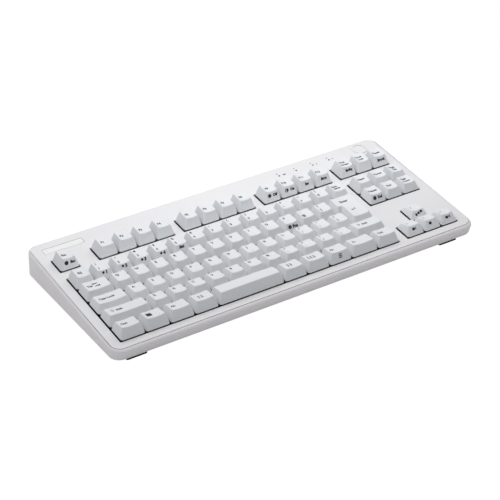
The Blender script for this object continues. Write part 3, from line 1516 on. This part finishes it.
def hinge_pin(x, side):
    """Pin end on the left (side -1) or right (side 1) of the flap."""
    stations = [
        (x + side * (FOOT_W / 2 - 0.5), PIN_R), (x + side * 17.3, PIN_R),
        (x + side * 17.5, PIN_R - 0.2),
    ]
    verts = [
        (px, y, z) for px, r in stations[::side] for y, z in circle(HINGE_Y, HINGE_Z, r, 20)
    ]
    return verts, loft_faces(20, len(stations))


for name, x in FEET_X.items():
    foot = Mesh()
    foot.plan(*flap(x))
    for side in (-1, 1):
        foot.plan(*hinge_pin(x, side))
    for k in range(3):  # ribs across the free end, on the side that faces down
        y = HINGE_Y - FOOT_LENGTH + 2.6 + k * 1.5
        foot.plan(*grip_rib(x, 6.0, y, HINGE_Z - FOOT_T / 2, shoulder=0.12, crest=0.18))
    piece(name + "_flap", foot, [CASE_PLASTIC], name, [name])

# ------------------------------------------------------------------ battery lid
LID_GAP = 0.4
LID_RINGS = [(0.35, BOTTOM), (0.12, BOTTOM + 0.06), (0.0, BOTTOM + 0.25), (0.0, FLOOR - 0.1)]
rings = []
for bevel, z in LID_RINGS:
    inset = LID_GAP + bevel
    loop = ring_rect(
        BAY_X0 + inset, BAY_X1 - inset, BAY_Y0 + inset, BAY_Y1 - inset, 0.9, 16, 6, 5
    )
    rings.append(raised(loop, z))
lid = Mesh()
lid.plan(*ladder_stack(rings))
for k in range(5):  # grip ribs at the front edge, longest in the middle
    lid.plan(*grip_rib(
        (BAY_X0 + BAY_X1) / 2, 7.0 - abs(k - 2) * 0.8, BAY_Y0 + 2.6 + 1.4 * k, BOTTOM,
        shoulder=0.1, crest=0.16,
    ))
piece("battery_lid", lid, [CASE_PLASTIC], "battery_cover", ["battery_cover"])

# ------------------------------------------------------------------ carried CAD nodes
for name, mat in {
    "mounting_plate": BLACK_PLATE,
    "dome_sheet": DOME_RUBBER,
    "circuit_board": BOARD,
    "usb_port": STEEL,
    "battery_left": SLEEVE,
    "battery_right": SLEEVE,
}.items():
    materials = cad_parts[name].data.materials
    materials.clear()
    materials.append(mat)


# ------------------------------------------------------------------ floor
def mix_shaders(tree, fac, first, second):
    return node(tree, "MixShader", {"Fac": fac, 1: first, 2: second}).outputs[0]


def floor_material():
    """Pale table: an even glow to the camera, a pale matt surface to the light.

    From below it is clear.
    """
    mat = bpy.data.materials.new("pale_floor")
    tree = blank_tree(mat)
    diffuse = node(tree, "BsdfDiffuse", {"Color": (0.86, 0.855, 0.86, 1)}).outputs[0]
    glow = node(tree, "Emission", {"Color": (1, 1, 1, 1), "Strength": 1.03}).outputs[0]
    seen = node(tree, "LightPath").outputs["Is Camera Ray"]
    glow_share = math_node(tree, "MULTIPLY", seen, 0.975)
    table = mix_shaders(tree, glow_share, diffuse, glow)
    clear = node(tree, "BsdfTransparent").outputs[0]
    below = node(tree, "NewGeometry").outputs["Backfacing"]
    node(tree, "OutputMaterial", {"Surface": mix_shaders(tree, below, table, clear)})
    return mat


FLOOR_HALF, FLOOR_Z = 6, -2e-5  # metres
corners = [(-1, -1), (1, -1), (1, 1), (-1, 1)]
floor_data = bpy.data.meshes.new("floor")
floor_data.from_pydata(
    [(x * FLOOR_HALF, y * FLOOR_HALF, FLOOR_Z) for x, y in corners], [], [(0, 1, 2, 3)]
)
floor_data.materials.append(floor_material())
floor = bpy.data.objects.new("floor", floor_data)
scene.collection.objects.link(floor)


# ------------------------------------------------------------------ world and light
def lobe(tree, vector, direction, low, high, power):
    """Soft pool of light about a direction of the sky: low everywhere, high added at its middle."""
    inputs = {0: vector, 1: Vector(direction).normalized()}
    dot = node(tree, "VectorMath", inputs, operation="DOT_PRODUCT").outputs["Value"]
    falloff = math_node(tree, "POWER", math_node(tree, "MAXIMUM", dot, 0.0), power)
    return math_node(tree, "MULTIPLY_ADD", falloff, high, low)


def build_world():
    """Sky bright overhead and to the left, plain white to the camera."""
    world = bpy.data.worlds.new("studio")
    scene.world = world
    tree = blank_tree(world)
    vector = node(tree, "TexCoord").outputs["Generated"]
    above = lobe(tree, vector, direction=(0.1, 0.2, 0.95), low=0.36, high=0.42, power=2.0)
    left = lobe(tree, vector, direction=(-0.97, -0.05, 0.02), low=0.0, high=0.37, power=2.5)
    strength = math_node(tree, "ADD", above, left)
    sky = node(tree, "Background", {"Strength": strength, "Color": (0.985, 0.99, 1.0, 1)})
    white = node(tree, "Background", {"Color": (1, 1, 1, 1), "Strength": 1.0})
    seen = node(tree, "LightPath").outputs["Is Camera Ray"]
    mixed = mix_shaders(tree, seen, sky.outputs[0], white.outputs[0])
    node(tree, "OutputWorld", {"Surface": mixed})


build_world()

# softbox above the rear edge: the deck and the key fronts fade towards the viewer
softbox_data = bpy.data.lights.new("softbox", "AREA")
softbox_data.shape = "RECTANGLE"
softbox_data.size, softbox_data.size_y = 0.62, 0.2
softbox_data.energy = 0.78
softbox = bpy.data.objects.new("softbox", softbox_data)
scene.collection.objects.link(softbox)
softbox.location = (0.055, 0.105, 0.33)
softbox.visible_camera = False

# ------------------------------------------------------------------ camera
CAMERA_PLACE = (-0.684423, -1.041775, 0.785117)
CAMERA_RIGHT = (0.837816, -0.545952, 0.0)
CAMERA_FORWARD = (0.463047, 0.710600, -0.529751)

camera_data = bpy.data.cameras.new("camera")
camera_data.sensor_width = 36.0
camera_data.lens = 117.861
camera_data.clip_start, camera_data.clip_end = 0.05, 30.0
camera = bpy.data.objects.new("camera", camera_data)
scene.collection.objects.link(camera)
right = Vector(CAMERA_RIGHT).normalized()
forward = Vector(CAMERA_FORWARD).normalized()
up = right.cross(forward).normalized()
turn = Matrix((right, up, -forward)).transposed()
camera.matrix_world = Matrix.Translation(CAMERA_PLACE) @ turn.to_4x4()
scene.camera = camera

scene.view_settings.view_transform = "Standard"
scene.view_settings.look = "None"
scene.view_settings.exposure = 0.0
scene.view_settings.gamma = 1.0
